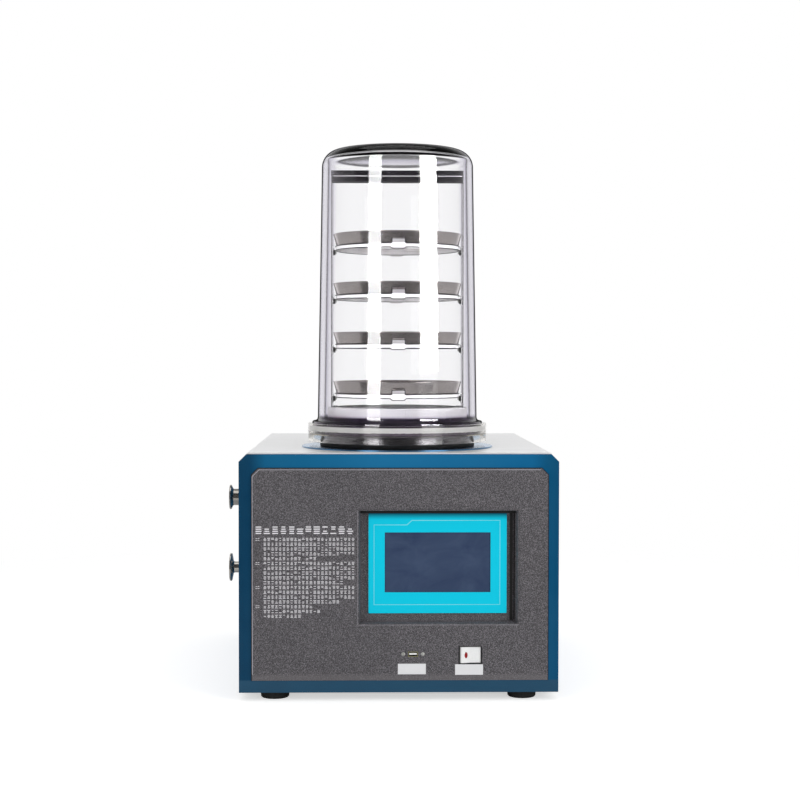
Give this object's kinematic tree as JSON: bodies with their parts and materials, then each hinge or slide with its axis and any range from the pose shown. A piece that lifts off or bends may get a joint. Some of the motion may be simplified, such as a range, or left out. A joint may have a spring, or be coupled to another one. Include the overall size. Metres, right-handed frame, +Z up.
{
  "type": "laboratory freeze dryer",
  "caption": "Bench-top freeze dryer: sheet-metal cabinet with touch screen and cold trap, and a clear chamber over a steel rack of round trays.",
  "frame": {"origin": "centre of the cabinet's footprint, at the level on which the feet stand", "axes": "+X to the right seen from the front, +Y to the rear, +Z up"},
  "size_m": [0.4962, 0.565, 0.7978],
  "materials": {
    "galvanised": "zinc-coated sheet",
    "foot_rubber": "matt moulded rubber",
    "fastener": "bright zinc plating",
    "blue_paint": "fine powder coat",
    "grey_paint": "speckled hammertone",
    "top_steel": "fine silver satin",
    "recess_plastic": "speckled, matt",
    "cyan_plastic": "satin",
    "display_glass": "dark glossy display",
    "black_plastic": "moulded",
    "socket_metal": "plated",
    "label_white": "blank film",
    "rocker_white": "moulded gloss",
    "disc_steel": "turned",
    "black_rubber": "matt",
    "trap_steel": "polished stainless",
    "foam": "cellular foam",
    "copper": "drawn copper",
    "silicone": "translucent silicone",
    "clear_acrylic": "clear, polished",
    "rack_steel": "satin stainless",
    "shelf_steel": "satin stainless",
    "tray_steel": "spun stainless",
    "dark_nut": "dark",
    "port_steel": "turned stainless",
    "pipe_steel": "drawn stainless",
    "sensor_steel": "turned",
    "black_paint": "stoved enamel",
    "condenser_aluminium": "rolled fins",
    "motor_paint": "cast, painted",
    "fan_plastic": "moulded",
    "supply_case": "bent sheet",
    "board": "solder resist",
    "inlet_plastic": "moulded"
  },
  "bodies": {
    "machine": {"base_pan": "galvanised", "feet": "foot_rubber", "foot_screws": "fastener", "front_frame": "blue_paint", "left_side_panel": "blue_paint", "right_side_panel": "blue_paint", "rear_panel": "blue_paint", "top_plate": "top_steel", "case_screws": "fastener", "front_panel": "grey_paint", "screen_recess": "recess_plastic", "screen_bezel": "cyan_plastic", "lcd_glass": "display_glass", "screen_housing": "black_plastic", "usb_socket": "socket_metal", "usb_screws": "fastener", "usb_label": "label_white", "switch_label": "label_white", "switch_housing": "black_plastic", "base_disc": "disc_steel", "collar_pad": "black_rubber", "cold_trap_pot": "trap_steel", "trap_insulation": "foam", "evaporator_coil": "copper", "seal_ring": "silicone", "drying_chamber": "clear_acrylic", "rack_base_ring": "rack_steel", "rack_posts": "rack_steel", "rack_crossbar": "rack_steel", "shelf_1": "shelf_steel", "shelf_2": "shelf_steel", "shelf_3": "shelf_steel", "shelf_4": "shelf_steel", "tray_1": "tray_steel", "tray_2": "tray_steel", "tray_3": "tray_steel", "tray_4": "tray_steel", "rack_screws": "fastener", "rack_nuts": "dark_nut", "vacuum_port": "port_steel", "vacuum_pipe": "pipe_steel", "vent_port": "port_steel", "drain_pipe": "pipe_steel", "vacuum_sensor": "sensor_steel", "compressor": "black_paint", "compressor_grommets": "black_rubber", "condenser": "condenser_aluminium", "fan_shroud": "black_plastic", "fan_motor": "motor_paint", "filter_drier": "copper", "discharge_line": "copper", "suction_line": "copper", "power_supply": "supply_case", "control_board": "board", "power_inlet": "inlet_plastic", "pump_outlet": "inlet_plastic", "fuse_holder": "inlet_plastic"},
    "rocker": {"switch_rocker": "rocker_white"},
    "fan": {"fan_rotor": "fan_plastic"}
  },
  "joints": [
    {"name": "mains_switch", "type": "hinge", "parent": "machine", "child": "rocker", "pos_m": [0.1003, -0.273, 0.0654], "axis": [0, 0, 1], "range_deg": [-16, 0]},
    {"name": "fan_spin", "type": "hinge", "parent": "machine", "child": "fan", "pos_m": [0.1045, 0.2115, 0.124], "axis": [0, 1, 0], "continuous": true}
  ]
}
